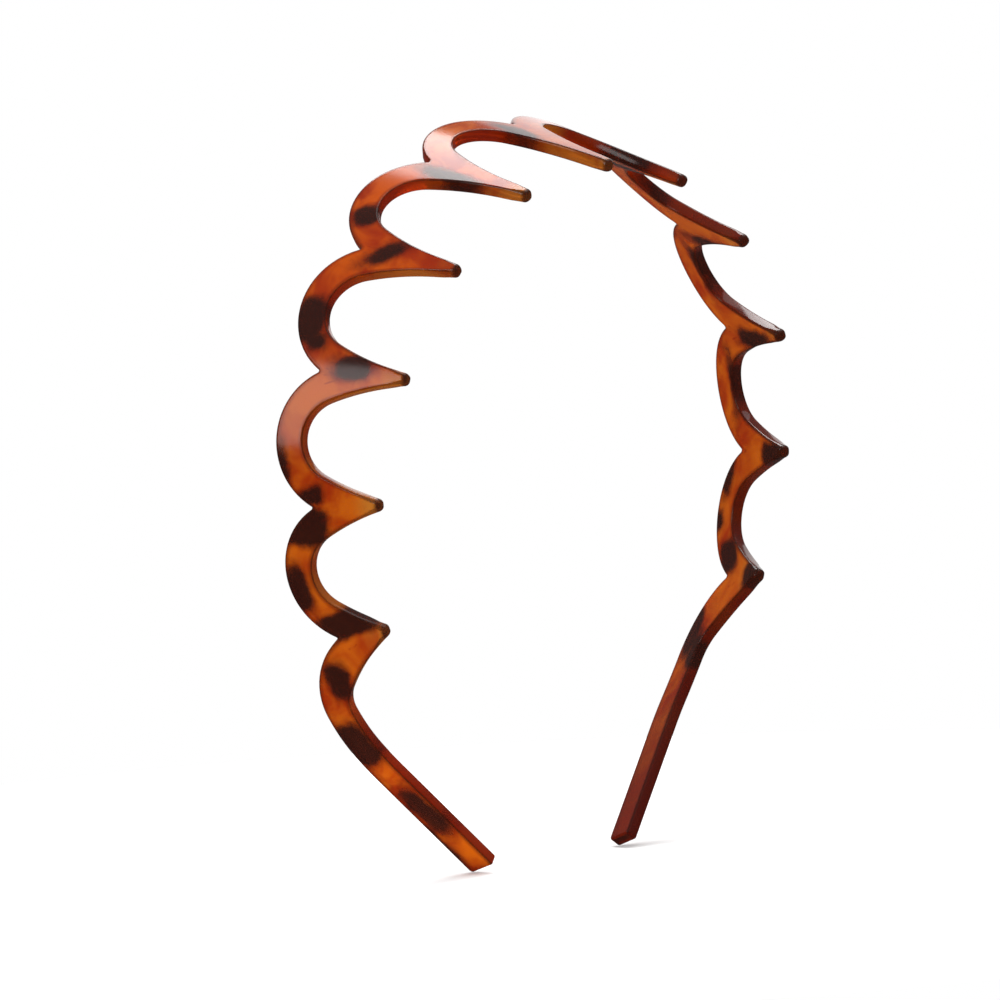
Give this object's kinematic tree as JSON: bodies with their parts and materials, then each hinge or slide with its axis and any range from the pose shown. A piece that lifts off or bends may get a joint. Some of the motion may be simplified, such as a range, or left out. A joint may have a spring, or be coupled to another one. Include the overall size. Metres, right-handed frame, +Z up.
{
  "type": "scalloped comb headband",
  "caption": "Springy open hoop worn over the head, its strip waved into arches that run into inward leaning comb teeth, with plain straight legs.",
  "frame": {"origin": "centre of the crown arc, level with the centre tooth's notch, where the middle of the head sits", "axes": "+X towards the wearer's left, -Y towards the forehead, +Z up through the crown"},
  "size_m": [0.12, 0.0309, 0.1321],
  "materials": {
    "shell": "glossy translucent tortoiseshell"
  },
  "bodies": {
    "crown_tooth": {"crown_tooth": "shell"},
    "left_tooth_1": {"left_tooth_1": "shell"},
    "left_tooth_2": {"left_tooth_2": "shell"},
    "left_tooth_3": {"left_tooth_3": "shell"},
    "left_tooth_4": {"left_tooth_4": "shell"},
    "left_tooth_5": {"left_tooth_5": "shell"},
    "right_tooth_1": {"right_tooth_1": "shell"},
    "right_tooth_2": {"right_tooth_2": "shell"},
    "right_tooth_3": {"right_tooth_3": "shell"},
    "right_tooth_4": {"right_tooth_4": "shell"},
    "right_tooth_5": {"right_tooth_5": "shell"},
    "left_leg": {"left_leg": "shell"},
    "right_leg": {"right_leg": "shell"}
  },
  "joints": [
    {"name": "left_flex_1", "type": "hinge", "parent": "crown_tooth", "child": "left_tooth_1", "pos_m": [0.01221, -0.00331, 0.05872], "axis": [0, -1, 0], "range_deg": [-1.2, 5.5], "stiffness_Nm_per_rad": 6},
    {"name": "left_flex_2", "type": "hinge", "parent": "left_tooth_1", "child": "left_tooth_2", "pos_m": [0.03445, -0.00242, 0.04877], "axis": [0, -1, 0], "range_deg": [-1.16, 5.13]},
    {"name": "left_flex_3", "type": "hinge", "parent": "left_tooth_2", "child": "left_tooth_3", "pos_m": [0.05092, -0.00197, 0.03092], "axis": [0, -1, 0], "range_deg": [-0.99, 4.37]},
    {"name": "left_flex_4", "type": "hinge", "parent": "left_tooth_3", "child": "left_tooth_4", "pos_m": [0.05903, -0.00197, 0.00806], "axis": [0, -1, 0], "range_deg": [-0.78, 3.4]},
    {"name": "left_flex_5", "type": "hinge", "parent": "left_tooth_4", "child": "left_tooth_5", "pos_m": [0.05774, -0.00242, -0.01615], "axis": [0, -1, 0], "range_deg": [-0.56, 2.38]},
    {"name": "left_flex_6", "type": "hinge", "parent": "left_tooth_5", "child": "left_leg", "pos_m": [0.047, -0.00445, -0.04181], "axis": [0, -1, 0], "range_deg": [-0.32, 1.29]},
    {"name": "right_flex_1", "type": "hinge", "parent": "crown_tooth", "child": "right_tooth_1", "pos_m": [-0.01221, -0.00331, 0.05872], "axis": [0, 1, 0], "range_deg": [-1.2, 5.5], "stiffness_Nm_per_rad": 6},
    {"name": "right_flex_2", "type": "hinge", "parent": "right_tooth_1", "child": "right_tooth_2", "pos_m": [-0.03445, -0.00242, 0.04877], "axis": [0, 1, 0], "range_deg": [-1.16, 5.13]},
    {"name": "right_flex_3", "type": "hinge", "parent": "right_tooth_2", "child": "right_tooth_3", "pos_m": [-0.05092, -0.00197, 0.03092], "axis": [0, 1, 0], "range_deg": [-0.99, 4.37]},
    {"name": "right_flex_4", "type": "hinge", "parent": "right_tooth_3", "child": "right_tooth_4", "pos_m": [-0.05903, -0.00197, 0.00806], "axis": [0, 1, 0], "range_deg": [-0.78, 3.4]},
    {"name": "right_flex_5", "type": "hinge", "parent": "right_tooth_4", "child": "right_tooth_5", "pos_m": [-0.05774, -0.00242, -0.01615], "axis": [0, 1, 0], "range_deg": [-0.56, 2.38]},
    {"name": "right_flex_6", "type": "hinge", "parent": "right_tooth_5", "child": "right_leg", "pos_m": [-0.047, -0.00445, -0.04181], "axis": [0, 1, 0], "range_deg": [-0.32, 1.29]}
  ],
  "couplings": [
    {"joint": "left_flex_2", "follows": "left_flex_1", "ratio": 0.923},
    {"joint": "left_flex_3", "follows": "left_flex_1", "ratio": 0.786},
    {"joint": "left_flex_4", "follows": "left_flex_1", "ratio": 0.61},
    {"joint": "left_flex_5", "follows": "left_flex_1", "ratio": 0.423},
    {"joint": "left_flex_6", "follows": "left_flex_1", "ratio": 0.225},
    {"joint": "right_flex_2", "follows": "right_flex_1", "ratio": 0.923},
    {"joint": "right_flex_3", "follows": "right_flex_1", "ratio": 0.786},
    {"joint": "right_flex_4", "follows": "right_flex_1", "ratio": 0.61},
    {"joint": "right_flex_5", "follows": "right_flex_1", "ratio": 0.423},
    {"joint": "right_flex_6", "follows": "right_flex_1", "ratio": 0.225}
  ]
}
